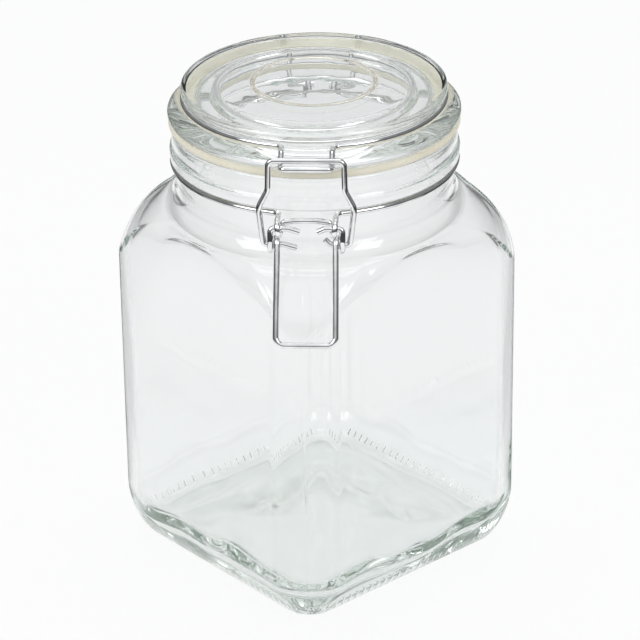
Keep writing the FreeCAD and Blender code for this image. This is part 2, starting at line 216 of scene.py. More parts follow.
WAVE = 0.5 * MM
WAVE_EVERYWHERE = 0.025 * MM
WAVE_FADE_TOP = 46 * MM
WAVE_FADE = 34 * MM
WAVE_TWIST = 9 * MM
WAVE_REACH = 42 * MM
WAVE_TOP = 140 * MM
LIFT_TOP = 30 * MM


def unevenness(height):
    """Gentle waves of the inner skin, deepest round the floor."""
    low = np.clip((WAVE_FADE_TOP - height) / WAVE_FADE, 0, 1) ** 1.5
    lift = height / WAVE_TWIST
    waves = (np.sin(3 * columns + 0.7 + 0.5 * lift) + 0.8 * np.sin(5 * columns + 2.1 - 0.8 * lift)
             + 0.6 * np.sin(8 * columns + 4.0 + 1.1 * lift)
             + 0.3 * np.sin(13 * columns + 1.3 - 1.7 * lift))
    return waves * (WAVE * low + WAVE_EVERYWHERE)


def skin_ring(out, height):
    return np.stack([out * np.cos(columns), out * np.sin(columns), height], axis=-1)


rows = []
for out, height in ((reach * ones, height * ones) for reach, height in outside):
    climb = np.clip((height - SEAM_BOTTOM) / SEAM_FADE, 0, 1) * (out > SEAM_INNER_REACH)
    rows.append(skin_ring(out + seam_rise * climb, height))
for out, height in ((reach * ones, height * ones) for reach, height in reversed(inside)):
    wave = unevenness(height) * np.clip(out / WAVE_REACH, 0, 1) ** 2
    rows.append(skin_ring(out - wave * (height < WAVE_TOP), height + wave * 0.8 * (height < LIFT_TOP)))
jar_body = closed_skin("jar_body_glass", np.array(rows))


class Socket:
    """A shader socket that takes Python operators."""

    def __init__(self, tree, socket=None):
        self.tree, self.socket = tree, socket

    def node(self, kind, settings=None, out=0, **values):
        """Any node: its settings first, then a value or a link for each named socket."""
        made = self.tree.nodes.new(kind)
        for key, value in (settings or {}).items():
            if key == "stops":
                ramp = made.color_ramp.elements
                while len(ramp) < len(value):
                    ramp.new(0.5)
                for stop, (place, colour) in zip(ramp, value):
                    stop.position, stop.color = place, (*colour, 1)
            else:
                setattr(made, key, value)
        for key, value in values.items():
            target = made.inputs[int(key[1:]) if key[1:].isdigit() else key.replace("_", " ")]
            if isinstance(value, Socket):
                self.tree.links.new(value.socket, target)
            else:
                target.default_value = value
        return Socket(self.tree, made.outputs[out] if made.outputs else None)

    def maths(self, operation, *others):
        """A Math node that takes this socket first."""
        sides = {f"i{n}": value for n, value in enumerate((self, *others))}
        return self.node("ShaderNodeMath", {"operation": operation}, **sides)

    def split(self):
        """X, Y and Z of a vector."""
        return [self.node("ShaderNodeSeparateXYZ", out=axis, Vector=self) for axis in "XYZ"]

    def faded(self, start, end, kind="SMOOTHSTEP"):
        """1 up to start and 0 from end on."""
        return self.node("ShaderNodeMapRange", {"interpolation_type": kind}, Value=self,
                         From_Min=start, From_Max=end, To_Min=1.0, To_Max=0.0)

    def __add__(self, other):
        return self.maths("ADD", other)

    def __sub__(self, other):
        return self.maths("SUBTRACT", other)

    def __rsub__(self, other):
        return self.maths("MULTIPLY_ADD", -1.0, other)

    def __mul__(self, other):
        return self.maths("MULTIPLY", other)

    def __pow__(self, other):
        return self.maths("POWER", other)

    def __neg__(self):
        return self * -1.0

    def __abs__(self):
        return self.maths("ABSOLUTE")

    __radd__, __rmul__ = __add__, __mul__


def new_material(name):
    """An empty node material and the start of its tree."""
    material = bpy.data.materials.new(name)
    material.use_nodes = True
    material.node_tree.nodes.clear()
    return material, Socket(material.node_tree)


GLASS_TINT = (0.74, 0.80, 0.76, 1)
GLASS_DENSITY = 9.0
GLASS_SHADOW = (0.9, 0.93, 0.92, 1)
WHITE = (1, 1, 1, 1)


def clear_glass(name, waviness, stain=None, relief=None):
    """Clear glass that lets light through to what it shades, with a stain or a relief."""
    material, tree = new_material(name)
    place = tree.node("ShaderNodeTexCoord", out="Object")
    waves = tree.node("ShaderNodeTexNoise", Vector=place, Scale=55.0, Detail=2.0)
    normal = tree.node("ShaderNodeBump", Strength=waviness, Distance=0.4 * MM, Height=waves)
    if relief:
        normal = tree.node("ShaderNodeBump", Strength=1.0, Distance=RIDGE_RISE, Height=relief(place),
                           Normal=normal)
    body = tree.node("ShaderNodeBsdfPrincipled", Base_Color=stain(place) if stain else WHITE,
                     Roughness=0.0, IOR=1.52, Transmission_Weight=1.0, Normal=normal)
    lit = tree.node("ShaderNodeBsdfTransparent", Color=GLASS_SHADOW)
    shadow = tree.node("ShaderNodeLightPath", out="Is Shadow Ray")
    surface = tree.node("ShaderNodeMixShader", i0=shadow, i1=body, i2=lit)
    volume = tree.node("ShaderNodeVolumeAbsorption", Color=GLASS_TINT, Density=GLASS_DENSITY)
    tree.node("ShaderNodeOutputMaterial", Surface=surface, Volume=volume)
    return material


RIDGE_PITCH = 3.2 * MM
RIDGE_WIDTH = 0.6 * MM
RIDGE_RISE = 0.25 * MM
RIDGE_REACH = 44.0 * MM
RIDGE_HEIGHT = 4.4 * MM
RIDGE_HALF = 1.5 * MM


def heel_ridges(place):
    """Short upright ridges round the heel, as the mould leaves them."""
    across, along, up = place.node("ShaderNodeVectorRotate", {"rotation_type": "Z_AXIS"}, Vector=place,
                                   Angle=-SQUARE_TURN - math.pi / 4).split()
    reach = abs(across).maths("MAXIMUM", abs(along))
    run = abs(across).maths("MINIMUM", abs(along))
    ridge = run.maths("PINGPONG", RIDGE_PITCH / 2).faded(0.0, RIDGE_WIDTH)
    band = abs(up - RIDGE_HEIGHT).faded(RIDGE_HALF * 0.7, RIDGE_HALF)
    return ridge * band * reach.maths("GREATER_THAN", RIDGE_REACH)


jar_body.data.materials.append(clear_glass("jar_glass", 0.05, relief=heel_ridges))
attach(jar_body, "jar")
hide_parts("jar_body")

# ---------------------------------------------------------------------------------------
# Lid.  Pressed glass disc with a flange that bears on the gasket, a groove for its wire
# and a hollow under it.  A fine raised ring on top marks the middle.
# ---------------------------------------------------------------------------------------
GASKET_THICKNESS = 2.8 * MM
FLANGE_BOTTOM = JAR_HEIGHT + GASKET_THICKNESS
LID_TOP = FLANGE_BOTTOM + 11.4 * MM
FLANGE_RADIUS = 49.2 * MM
FLANGE_EDGE = 1.9 * MM
DISC_RADIUS = 44.6 * MM
DISC_BOTTOM = LID_TOP - 3.6 * MM
DISC_ROUND = 1.5 * MM
WELL_RADIUS = 34.0 * MM
WELL_ROUND = 2.5 * MM
WELL_TOP = LID_TOP - 4.0 * MM
SPIGOT_RADIUS = 39.0 * MM
SPIGOT_BOTTOM = FLANGE_BOTTOM - 5.0 * MM
SPIGOT_ROUND = 1.0 * MM
RING_RADIUS = 20.6 * MM
RING_HALF = 0.8 * MM
RING_HEIGHT = 0.35 * MM
RING_TAN = (0.80, 0.70, 0.56)
WIRE = 2.0 * MM
LID_WIRE_HEIGHT = FLANGE_BOTTOM + 6.6 * MM
GROOVE_RADIUS = DISC_RADIUS - 0.75 * MM - WIRE / 2 - 0.06 * MM
GROOVE_BOTTOM = LID_WIRE_HEIGHT - WIRE / 2 - 0.06 * MM
GROOVE_ROUND = 0.4 * MM
SMALL_ROUND = 0.3 * MM
POLE_RING = 1.5 * MM


def lathe(name, profile, count):
    """Turned piece from (out, up) points that start and end near the axis."""
    angles = np.arange(count) * 2 * math.pi / count
    rings = [np.stack([out * np.cos(angles), out * np.sin(angles), np.full(count, up)], axis=-1)
             for out, up in profile]
    return closed_skin(name, np.array(rings))


def flat_rows(first, last, up, count):
    return [(out, up) for out in np.linspace(first, last, count)]


lid_profile = (
    flat_rows(POLE_RING, WELL_RADIUS - WELL_ROUND - 1 * MM, WELL_TOP, 8)
    + arc_rows((WELL_RADIUS - WELL_ROUND, WELL_TOP - WELL_ROUND), WELL_ROUND, 90, 0, 9)
    + [(WELL_RADIUS, SPIGOT_BOTTOM + 3 * MM)]
    + arc_rows((WELL_RADIUS + SPIGOT_ROUND, SPIGOT_BOTTOM + SPIGOT_ROUND), SPIGOT_ROUND, 180, 270, 6)
    + arc_rows((SPIGOT_RADIUS - SPIGOT_ROUND, SPIGOT_BOTTOM + SPIGOT_ROUND), SPIGOT_ROUND, 270, 360, 6)
    + [(SPIGOT_RADIUS, FLANGE_BOTTOM - 1 * MM), (SPIGOT_RADIUS, FLANGE_BOTTOM - 0.4 * MM)]
    + arc_rows((SPIGOT_RADIUS + SMALL_ROUND, FLANGE_BOTTOM - SMALL_ROUND), SMALL_ROUND, 180, 90, 3)
    + [(40.5 * MM, FLANGE_BOTTOM), (45 * MM, FLANGE_BOTTOM)]
    + arc_rows((FLANGE_RADIUS - FLANGE_EDGE, FLANGE_BOTTOM + FLANGE_EDGE), FLANGE_EDGE, -90, 50, 12)
    + [(46.2 * MM, GROOVE_BOTTOM - 0.35 * MM)]
    + arc_rows((44.6 * MM, GROOVE_BOTTOM - SMALL_ROUND), SMALL_ROUND, 70, 90, 3)
    + [(43.4 * MM, GROOVE_BOTTOM)]
    + arc_rows((GROOVE_RADIUS + GROOVE_ROUND, GROOVE_BOTTOM + GROOVE_ROUND), GROOVE_ROUND, 270, 180, 5)
    + arc_rows((GROOVE_RADIUS + GROOVE_ROUND, DISC_BOTTOM - GROOVE_ROUND), GROOVE_ROUND, 180, 90, 5)
    + [(42.6 * MM, DISC_BOTTOM)]
    + arc_rows((DISC_RADIUS - DISC_ROUND, DISC_BOTTOM + DISC_ROUND), DISC_ROUND, -90, 0, 8)
    + arc_rows((DISC_RADIUS - DISC_ROUND, LID_TOP - DISC_ROUND), DISC_ROUND, 0, 90, 8)
    + flat_rows(42.4 * MM, RING_RADIUS + RING_HALF + 0.5 * MM, LID_TOP, 10)
    + [(RING_RADIUS + RING_HALF * side, LID_TOP + RING_HEIGHT * (1 - side ** 2) ** 2)
       for side in np.linspace(1, -1, 11)]
    + flat_rows(RING_RADIUS - RING_HALF - 0.5 * MM, POLE_RING, LID_TOP, 8)
)
lid_glass = lathe("lid_pressed_glass", lid_profile, 320)


def tan_raised_ring(place):
    """Faint tan in the raised ring on top of the lid."""
    across, along, up = place.split()
    ring = abs((across * across + along * along) ** 0.5 - RING_RADIUS)
    ring = ring.faded(RING_HALF * 0.7, RING_HALF * 1.3, "LINEAR")
    ring = ring * up.maths("GREATER_THAN", LID_TOP - 0.1 * MM)
    return place.node("ShaderNodeValToRGB", {"stops": [(0.0, (1, 1, 1)), (1.0, RING_TAN)]}, Fac=ring)


lid_glass.data.materials.append(clear_glass("lid_clear_glass", 0.3, stain=tan_raised_ring))
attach(lid_glass, "lid")
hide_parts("lid_glass")

# ---------------------------------------------------------------------------------------
# Gasket.  Flat ring of beige rubber, cut from a moulded tube, pressed between the rim and
# the lid's flange.  Its outer edge is rounded by the squeeze.
# ---------------------------------------------------------------------------------------
GASKET_INNER = 39.8 * MM
GASKET_OUTER = 48.9 * MM
RUBBER_DARK, RUBBER_LIGHT = (0.86, 0.81, 0.66), (0.92, 0.875, 0.74)


def ring_piece(name, profile, count):
    """Turned ring from a closed (out, up) profile."""
    angles = np.arange(count) * 2 * math.pi / count
    rings = np.array([[(out * math.cos(t), out * math.sin(t), up) for out, up in profile] for t in angles])
    around, steps = rings.shape[:2]
    index = np.arange(around * steps).reshape(around, steps)
    quads = np.stack([index, np.roll(index, -1, 0), np.roll(np.roll(index, -1, 0), -1, 1),
                      np.roll(index, -1, 1)], axis=-1).reshape(-1, 4)
    mesh = bpy.data.meshes.new(name)
    mesh.from_pydata(rings.reshape(-1, 3).tolist(), [], [tuple(q) for q in quads.tolist()])
    mesh.shade_smooth()
    piece = bpy.data.objects.new(name, mesh)
    bpy.context.scene.collection.objects.link(piece)
    return piece


SKIN_GAP = 0.02 * MM
GASKET_MIDDLE = 44 * MM
low, high = JAR_HEIGHT + SKIN_GAP, FLANGE_BOTTOM - SKIN_GAP
gasket_turn = (high - low) / 2
gasket = ring_piece("gasket_ring", (
    [(GASKET_INNER, high - SMALL_ROUND), (GASKET_INNER, low + SMALL_ROUND)]
    + arc_rows((GASKET_INNER + SMALL_ROUND, low + SMALL_ROUND), SMALL_ROUND, 180, 270, 4)
    + [(GASKET_MIDDLE, low)]
    + arc_rows((GASKET_OUTER - gasket_turn, (low + high) / 2), gasket_turn, -90, 90, 14)
    + [(GASKET_MIDDLE, high)]
    + arc_rows((GASKET_INNER + SMALL_ROUND, high - SMALL_ROUND), SMALL_ROUND, 90, 180, 4)[:-1]), 256)
rubber, tree = new_material("beige_rubber")
place = tree.node("ShaderNodeTexCoord", out="Object")
clouds = tree.node("ShaderNodeTexNoise", Vector=place, Scale=90.0, Detail=4.0)
grain = tree.node("ShaderNodeTexNoise", Vector=place, Scale=2600.0, Detail=2.0)
colour = tree.node("ShaderNodeValToRGB", {"stops": [(0.3, RUBBER_DARK), (0.7, RUBBER_LIGHT)]}, Fac=clouds)
skin = tree.node("ShaderNodeBsdfPrincipled", Base_Color=colour, Roughness=clouds * 0.2 + 0.42,
                 Transmission_Weight=0.1, IOR=1.45,
                 Normal=tree.node("ShaderNodeBump", Strength=0.25, Distance=0.05 * MM, Height=grain))
tree.node("ShaderNodeOutputMaterial", Surface=skin)
gasket.data.materials.append(rubber)
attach(gasket, "lid")
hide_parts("gasket")

# ---------------------------------------------------------------------------------------
# Neck wire.  Bright drawn steel wire bent to a ring under the bead.  At the back it ends in
# two eyes round the lid's hinge pin, and at the front it makes two eyes for the lever.
# ---------------------------------------------------------------------------------------
BEND = 2.5 * MM
TIGHT_BEND = 1.3 * MM
CORNER_BEND = 1.8 * MM
STUB_BEND = 2.0 * MM
WAIST_BEND = 5.0 * MM
SAG_BEND = 8 * MM
EYE_RADIUS = WIRE + 0.05 * MM
EYE_PITCH = 2.2 * MM
NECK_WIRE_HEIGHT = 144.2 * MM
NECK_WIRE_RADIUS = NECK_RADIUS + 0.06 * MM + WIRE / 2
LID_WIRE_RADIUS = DISC_RADIUS - 0.75 * MM
LEVER_PIVOT = (56.3 * MM, 143.1 * MM)
HINGE_OUT = 51.9 * MM
HINGE_EYE_HALF = 6.0 * MM
EYE_HALF = 9.4 * MM
RING_LEAD = 3.8 * MM
STEPS_PER_BEND = 9
STEPS_PER_SLIGHT_BEND = 5
RING_STEPS = 8
WIRE_SIDES = 28
END_CHAMFER = 0.22 * MM
END_SHARE = 0.82


def bent_path(route):
    """Centre line along corners given as (x, y, z), bend radius."""
    corners = [Vector(place) for place, _ in route]
    path = [corners[0]]
    for index in range(1, len(route) - 1):
        into = (corners[index - 1] - corners[index]).normalized()
        away = (corners[index + 1] - corners[index]).normalized()
        turn = math.pi - into.angle(away)
        radius = route[index][1]
        towards = (into + away).normalized()
        centre = corners[index] + towards * (radius / math.cos(turn / 2))
        first = corners[index] + into * (radius * math.tan(turn / 2)) - centre
        last = corners[index] + away * (radius * math.tan(turn / 2)) - centre
        for share in np.linspace(0, 1, STEPS_PER_BEND if turn > 0.3 else STEPS_PER_SLIGHT_BEND):
            step = (first * math.sin((1 - share) * turn) + last * math.sin(share * turn)) / math.sin(turn)
            if (centre + step - path[-1]).length > 1e-6:
                path.append(centre + step)
    return path + [corners[-1]]


def ring_corners(radius, height, first, last, count):
    """Corners of a polygon whose bends make one circle round the axis."""
    step = (last - first) / count
    reach = radius / math.cos(step / 2)
    turns = [first + step * (n + 0.5) for n in range(count)]
    return [((reach * math.cos(turn), reach * math.sin(turn), height), radius) for turn in turns]


def turn_corners(out, height, radius, starts, count, across, step):
    """Corners of one wire turn about a pin that lies along X."""
    corners = []
    for index in range(count):
        angle = math.radians(starts + 90 * index)
        corners.append(((across + step * index / 4, -out + radius * math.sqrt(2) * math.cos(angle),
                         height + radius * math.sqrt(2) * math.sin(angle)), radius))
    return corners


def mirrored(route):
    return [((-place[0], place[1], place[2]), radius) for place, radius in reversed(route)]


def onto_ring(radius, height, half, side):
    """Ring angle where a strand at x = half leaves, and the corner between them."""
    angle = side * math.acos((half + RING_LEAD) / radius)
    return angle, (half, radius * math.sin(angle) + RING_LEAD / math.tan(angle), height)


def half_ring(radius, height, back_half, front_half):
    """Right half of a wire ring, from a strand at the back to one at the front."""
    back_angle, back_corner = onto_ring(radius, height, back_half, 1)
    front_angle, front_corner = onto_ring(radius, height, front_half, -1)
    return ([(back_corner, BEND)] + ring_corners(radius, height, back_angle, front_angle, RING_STEPS)
            + [(front_corner, BEND)])


def wire_tree(material):
    """Nodes that give a centre line its round section, thinner where an end is chamfered."""
    tree = bpy.data.node_groups.new("drawn_wire", "GeometryNodeTree")
    face = tree.interface
    face.new_socket("Geometry", in_out="INPUT", socket_type="NodeSocketGeometry")
    thickness = face.new_socket("Wire diameter", in_out="INPUT", socket_type="NodeSocketFloat")
    sides = face.new_socket("Sides", in_out="INPUT", socket_type="NodeSocketInt")
    face.new_socket("Geometry", in_out="OUTPUT", socket_type="NodeSocketGeometry")
    nodes, links = tree.nodes, tree.links
    enter, leave = nodes.new("NodeGroupInput"), nodes.new("NodeGroupOutput")
    curve = nodes.new("GeometryNodeMeshToCurve")
    swell = nodes.new("GeometryNodeSetCurveRadius")
    taper = nodes.new("GeometryNodeInputNamedAttribute")
    taper.data_type = "FLOAT"
    taper.inputs["Name"].default_value = "taper"
    section = nodes.new("GeometryNodeCurvePrimitiveCircle")
    half = nodes.new("ShaderNodeMath")
    half.operation = "MULTIPLY"
    half.inputs[1].default_value = 0.5
    tube = nodes.new("GeometryNodeCurveToMesh")
    tube.inputs["Fill Caps"].default_value = True
    smooth = nodes.new("GeometryNodeSetShadeSmooth")
    finish = nodes.new("GeometryNodeSetMaterial")
    finish.inputs["Material"].default_value = material
    real = nodes.new("GeometryNodeRealizeInstances")
    links.new(enter.outputs["Geometry"], curve.inputs["Mesh"])
    links.new(curve.outputs["Curve"], swell.inputs["Curve"])
    links.new(taper.outputs["Attribute"], swell.inputs["Radius"])
    links.new(swell.outputs["Curve"], tube.inputs["Curve"])
    links.new(enter.outputs["Wire diameter"], half.inputs[0])
    links.new(half.outputs[0], section.inputs["Radius"])
    links.new(enter.outputs["Sides"], section.inputs["Resolution"])
    links.new(section.outputs["Curve"], tube.inputs["Profile Curve"])
    links.new(tube.outputs["Mesh"], smooth.inputs["Geometry"])
    links.new(smooth.outputs["Geometry"], real.inputs["Geometry"])
    links.new(real.outputs["Geometry"], finish.inputs["Geometry"])
    links.new(finish.outputs["Geometry"], leave.inputs["Geometry"])
    return tree, thickness.identifier, sides.identifier


STEEL_DULL, STEEL_BRIGHT = (0.68, 0.69, 0.70), (0.91, 0.915, 0.92)
steel, tree = new_material("bright_drawn_steel")
place = tree.node("ShaderNodeTexCoord", out="Object")
tarnish = tree.node("ShaderNodeTexNoise", Vector=place, Scale=160.0, Detail=5.0)
draw_marks = tree.node("ShaderNodeTexNoise", Vector=place, Scale=4200.0, Detail=3.0)
colour = tree.node("ShaderNodeValToRGB", {"stops": [(0.25, STEEL_DULL), (0.6, STEEL_BRIGHT)]}, Fac=tarnish)
skin = tree.node("ShaderNodeBsdfPrincipled", Base_Color=colour, Metallic=1.0,
                 Roughness=tarnish * 0.14 + 0.03,
                 Normal=tree.node("ShaderNodeBump", Strength=0.12, Distance=0.02 * MM, Height=draw_marks))
tree.node("ShaderNodeOutputMaterial", Surface=skin)
wire_nodes, thickness_input, sides_input = wire_tree(steel)


def wire_piece(name, route, body, node):
    """A bent wire that stands for a CAD node."""
    path = bent_path(route)
    path.insert(1, path[0] + (path[1] - path[0]).normalized() * END_CHAMFER)
    path.insert(-1, path[-1] + (path[-2] - path[-1]).normalized() * END_CHAMFER)
    mesh = bpy.data.meshes.new(name)
    mesh.from_pydata([tuple(p) for p in path], [(n, n + 1) for n in range(len(path) - 1)], [])
    taper = mesh.attributes.new("taper", "FLOAT", "POINT")
    taper.data.foreach_set("value", [END_SHARE] + [1.0] * (len(path) - 2) + [END_SHARE])
    piece = bpy.data.objects.new(name, mesh)
    bpy.context.scene.collection.objects.link(piece)
    section = piece.modifiers.new("wire", "NODES")
    section.node_group = wire_nodes
    section[thickness_input] = WIRE
    section[sides_input] = WIRE_SIDES
    bpy.context.view_layer.update()
    solid = bpy.data.meshes.new_from_object(piece.evaluated_get(bpy.context.evaluated_depsgraph_get()))
    piece.modifiers.remove(section)
    piece.data = solid
    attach(piece, body)
    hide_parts(node)


pin_height = NECK_WIRE_HEIGHT + EYE_RADIUS
hinge_eye = turn_corners(-HINGE_OUT, pin_height, EYE_RADIUS, -45, 3, HINGE_EYE_HALF, -EYE_PITCH)
free_end = (HINGE_EYE_HALF - EYE_PITCH * 0.75, HINGE_OUT - EYE_RADIUS, pin_height - 0.3 * MM)
neck_route = [(free_end, 0)] + hinge_eye[::-1]
neck_route += half_ring(NECK_WIRE_RADIUS, NECK_WIRE_HEIGHT, HINGE_EYE_HALF, EYE_HALF)
neck_route.append(((EYE_HALF, -LEVER_PIVOT[0] + 3.5 * MM, LEVER_PIVOT[1] + EYE_RADIUS), BEND))
neck_route += turn_corners(*LEVER_PIVOT, EYE_RADIUS, 135, 3, EYE_HALF, -EYE_PITCH)
link_out, link_height = LEVER_PIVOT[0] - EYE_RADIUS, LEVER_PIVOT[1] + TIGHT_BEND
neck_route.append(((EYE_HALF - EYE_PITCH * 0.75, -link_out, link_height), TIGHT_BEND))
neck_route.append(((3.5 * MM, -link_out, link_height + 0.5 * MM), SAG_BEND))
wire_piece("neck_wire_ring", neck_route + mirrored(neck_route), "jar", "neck_wire")

# ---------------------------------------------------------------------------------------
# Lid wire.  The same wire, held in the lid's groove.  Its legs go down to the hinge pin at
# the back, and at the front it makes the flat tongue that the clasp hooks over.
# ---------------------------------------------------------------------------------------
HINGE_HALF = 12.7 * MM
CROSSBAR = (53.0 * MM, 165.45 * MM)
TONGUE_HALF = 8.2 * MM
TONGUE_REACH = 54.75 * MM
tongue_height = CROSSBAR[1] - WIRE - 0.3 * MM
lid_route = [((2.6 * MM, HINGE_OUT, pin_height), 0),
             ((HINGE_HALF, HINGE_OUT, pin_height), BEND),
             ((HINGE_HALF, HINGE_OUT, LID_WIRE_HEIGHT), BEND)]
lid_route += half_ring(LID_WIRE_RADIUS, LID_WIRE_HEIGHT, HINGE_HALF, TONGUE_HALF)
lid_route += [((TONGUE_HALF, -CROSSBAR[0] + 4.7 * MM, LID_WIRE_HEIGHT), BEND),
              ((TONGUE_HALF, -CROSSBAR[0] + 1.0 * MM, tongue_height), TIGHT_BEND),
              ((TONGUE_HALF, -TONGUE_REACH, tongue_height), CORNER_BEND)]
wire_piece("lid_wire_ring", lid_route + mirrored(lid_route), "lid", "lid_wire")

# ---------------------------------------------------------------------------------------
# Bail.  Wire loop that pulls the lid's tongue down.  Its two bent ends turn in the coils of
# the lever, and its waist is drawn in under the crossbar.
# ---------------------------------------------------------------------------------------
BAIL_PIVOT = (55.0 * MM, 136.9 * MM)
STUB_STRAIGHT = 7.6 * MM
BAIL_FOOT_HALF = 13.95 * MM
BAIL_HIP = (15.5 * MM, 149.5 * MM)
BAIL_WAIST = (12.4 * MM, 155.5 * MM)
BAIL_TOP_HALF = 12.2 * MM


def bail_point(half, height):
    """Place on the bail's leaning plane, between its pivot and its crossbar."""
    share = (height - BAIL_PIVOT[1]) / (CROSSBAR[1] - BAIL_PIVOT[1])
    return half, -(BAIL_PIVOT[0] + share * (CROSSBAR[0] - BAIL_PIVOT[0])), height


def bail_side(stub_end, stub_rise):
    """Right half of the bail, from its bent end to its crossbar."""
    return [((stub_end, -BAIL_PIVOT[0], BAIL_PIVOT[1] + stub_rise), 0),
            ((STUB_STRAIGHT, -BAIL_PIVOT[0], BAIL_PIVOT[1]), STUB_BEND),
            ((BAIL_FOOT_HALF, -BAIL_PIVOT[0], BAIL_PIVOT[1]), TIGHT_BEND),
            (bail_point(*BAIL_HIP), WAIST_BEND),
            (bail_point(*BAIL_WAIST), WAIST_BEND),
            (bail_point(BAIL_TOP_HALF, CROSSBAR[1]), CORNER_BEND)]


wire_piece("bail_loop", bail_side(6.0 * MM, 1.7 * MM) + mirrored(bail_side(3.2 * MM, -1.3 * MM)),
           "bail", "bail")

# ---------------------------------------------------------------------------------------
# Lever.  Wire loop pressed down to shut the jar.  Each arm makes a coil round the bail's end
# and then a pin that turns in the neck wire's eye.
# ---------------------------------------------------------------------------------------
COIL_HALF = 11.65 * MM
LEVER_BAR = (70.3 * MM, 107.9 * MM)
LEVER_BAR_HALF = 9.7 * MM
LEVER_BAR_BEND = 2.8 * MM
LEVER_STUB_DROP = 1.2 * MM


def lever_side(stub_end):
    """Right half of the lever: bent end, pin, coil round the bail's end, and arm."""
    out, drop = LEVER_BAR[0] - BAIL_PIVOT[0], BAIL_PIVOT[1] - LEVER_BAR[1]
    lean = math.acos(EYE_RADIUS / math.hypot(out, drop)) - math.atan2(drop, out)
    last_out = BAIL_PIVOT[0] + EYE_RADIUS * (1 - math.sin(lean)) / math.cos(lean)
    coil = turn_corners(*BAIL_PIVOT, EYE_RADIUS, 225, 3, COIL_HALF, -EYE_PITCH * 4 / 3)
    return ([((stub_end, -LEVER_PIVOT[0], LEVER_PIVOT[1] - LEVER_STUB_DROP), 0),
             ((STUB_STRAIGHT - 1.6 * MM, -LEVER_PIVOT[0], LEVER_PIVOT[1]), STUB_BEND),
             ((COIL_HALF, -LEVER_PIVOT[0], LEVER_PIVOT[1]), TIGHT_BEND),
             ((COIL_HALF, -BAIL_PIVOT[0] - EYE_RADIUS, BAIL_PIVOT[1] + EYE_RADIUS), STUB_BEND)]
            + coil
            + [((COIL_HALF - EYE_PITCH, -last_out, BAIL_PIVOT[1] + EYE_RADIUS), EYE_RADIUS),
               ((LEVER_BAR_HALF, -LEVER_BAR[0], LEVER_BAR[1]), LEVER_BAR_BEND)])


wire_piece("lever_loop", lever_side(3.6 * MM) + mirrored(lever_side(2.2 * MM)), "lever", "lever")

# ---------------------------------------------------------------------------------------
# Studio.  White paper on the floor, a white background, soft lamps at the sides and overhead,
# and the camera.  Steel and the glass's outer skin mirror a lit strip of floor with darker
# ground beside it, and a lit patch high at the front over dim walls.  Rays that leave the
# glass find bright ground with a dark strip on each side, which only its edges pick up.
# ---------------------------------------------------------------------------------------
FLOOR_RADIUS = 4.0
FLOOR_SIDES = 96
FLOOR_DROP = 0.2 * MM
rim_points = [(FLOOR_RADIUS * math.cos(t), FLOOR_RADIUS * math.sin(t), -FLOOR_DROP)
              for t in np.linspace(0, 2 * math.pi, FLOOR_SIDES + 1)[:-1]]
floor_mesh = bpy.data.meshes.new("pale_floor")
floor_mesh.from_pydata(rim_points, [], [tuple(range(FLOOR_SIDES))])
floor = bpy.data.objects.new("pale_floor", floor_mesh)
bpy.context.scene.collection.objects.link(floor)


def ray_kinds(tree):
    """1 for the camera's own rays, for mirrored ones and for those through glass."""
    return [tree.node("ShaderNodeLightPath", out=name)
            for name in ("Is Camera Ray", "Is Glossy Ray", "Is Transmission Ray")]


# What is mirrored: a lit strip, with a dark card on each side just behind the jar.
STRIP_HALF = 0.26
STRIP_FRONT = -0.54
STRIP_BACK = 0.55
SOFT_EDGE = 0.10
DARK_GROUND = 0.06
CARD_INNER = 0.035
CARD_FRONT_EDGE = 0.03
CARD_SIDE_EDGE = 0.015
CARD_BACK = 0.20
CARD_BACK_EDGE = 0.07
# What shows through glass: bright ground, and two dark strips that are left out once a ray
# has crossed more glass surfaces than the edges need.
LIT_RADIUS = 0.65
FLAG_INNER = 0.115
FLAG_INNER_EDGE = 0.015
FLAG_OUTER = 0.18
FLAG_OUTER_EDGE = 0.02
FLAG_DARKNESS = 0.92
FLAG_CROSSINGS = 2.5
LIT_GROUND = 1.0
FAR_GROUND = 0.4
# How much of the jar's shadow shows on the paper, straight on and through glass.
SHADOW_SHARE = 0.16
SHADOW_THROUGH = 0.9
paper, tree = new_material("pale_floor_paint")
across, along, _ = tree.node("ShaderNodeTexCoord", out="Object").split()
straight, glossy, through = ray_kinds(tree)
behind = (1.0 - along.faded(0.0, CARD_FRONT_EDGE)) * along.faded(CARD_BACK, CARD_BACK + CARD_BACK_EDGE)
beside = 1.0 - abs(across).faded(CARD_INNER, CARD_INNER + CARD_SIDE_EDGE)
strip = (abs(across).faded(STRIP_HALF, STRIP_HALF + SOFT_EDGE)
         * along.faded(STRIP_BACK, STRIP_BACK + SOFT_EDGE)
         * (-along).faded(-STRIP_FRONT, -STRIP_FRONT + SOFT_EDGE) * (1.0 - behind * beside))
mirrored_level = strip * (1.0 - DARK_GROUND) + DARK_GROUND
ground = ((across * across + along * along) ** 0.5).faded(LIT_RADIUS, LIT_RADIUS * 1.6)
crossings = tree.node("ShaderNodeLightPath", out="Transmission Depth")
flagged = (crossings.maths("LESS_THAN", FLAG_CROSSINGS)
           * (1.0 - abs(across).faded(FLAG_INNER, FLAG_INNER + FLAG_INNER_EDGE))
           * abs(across).faded(FLAG_OUTER, FLAG_OUTER + FLAG_OUTER_EDGE))
through_level = (ground * (LIT_GROUND - FAR_GROUND) + FAR_GROUND) * (1.0 - flagged * FLAG_DARKNESS)
shown = through * through_level + (1.0 - through) * (glossy * mirrored_level + (1.0 - glossy))
matt = tree.node("ShaderNodeBsdfDiffuse", Color=(0.9, 0.9, 0.9, 1))
white = tree.node("ShaderNodeEmission", Color=WHITE, Strength=shown)
seen = straight * (1.0 - SHADOW_SHARE) + through * (1.0 - SHADOW_THROUGH)
seen = seen.maths("MAXIMUM", glossy * (1.0 - through))
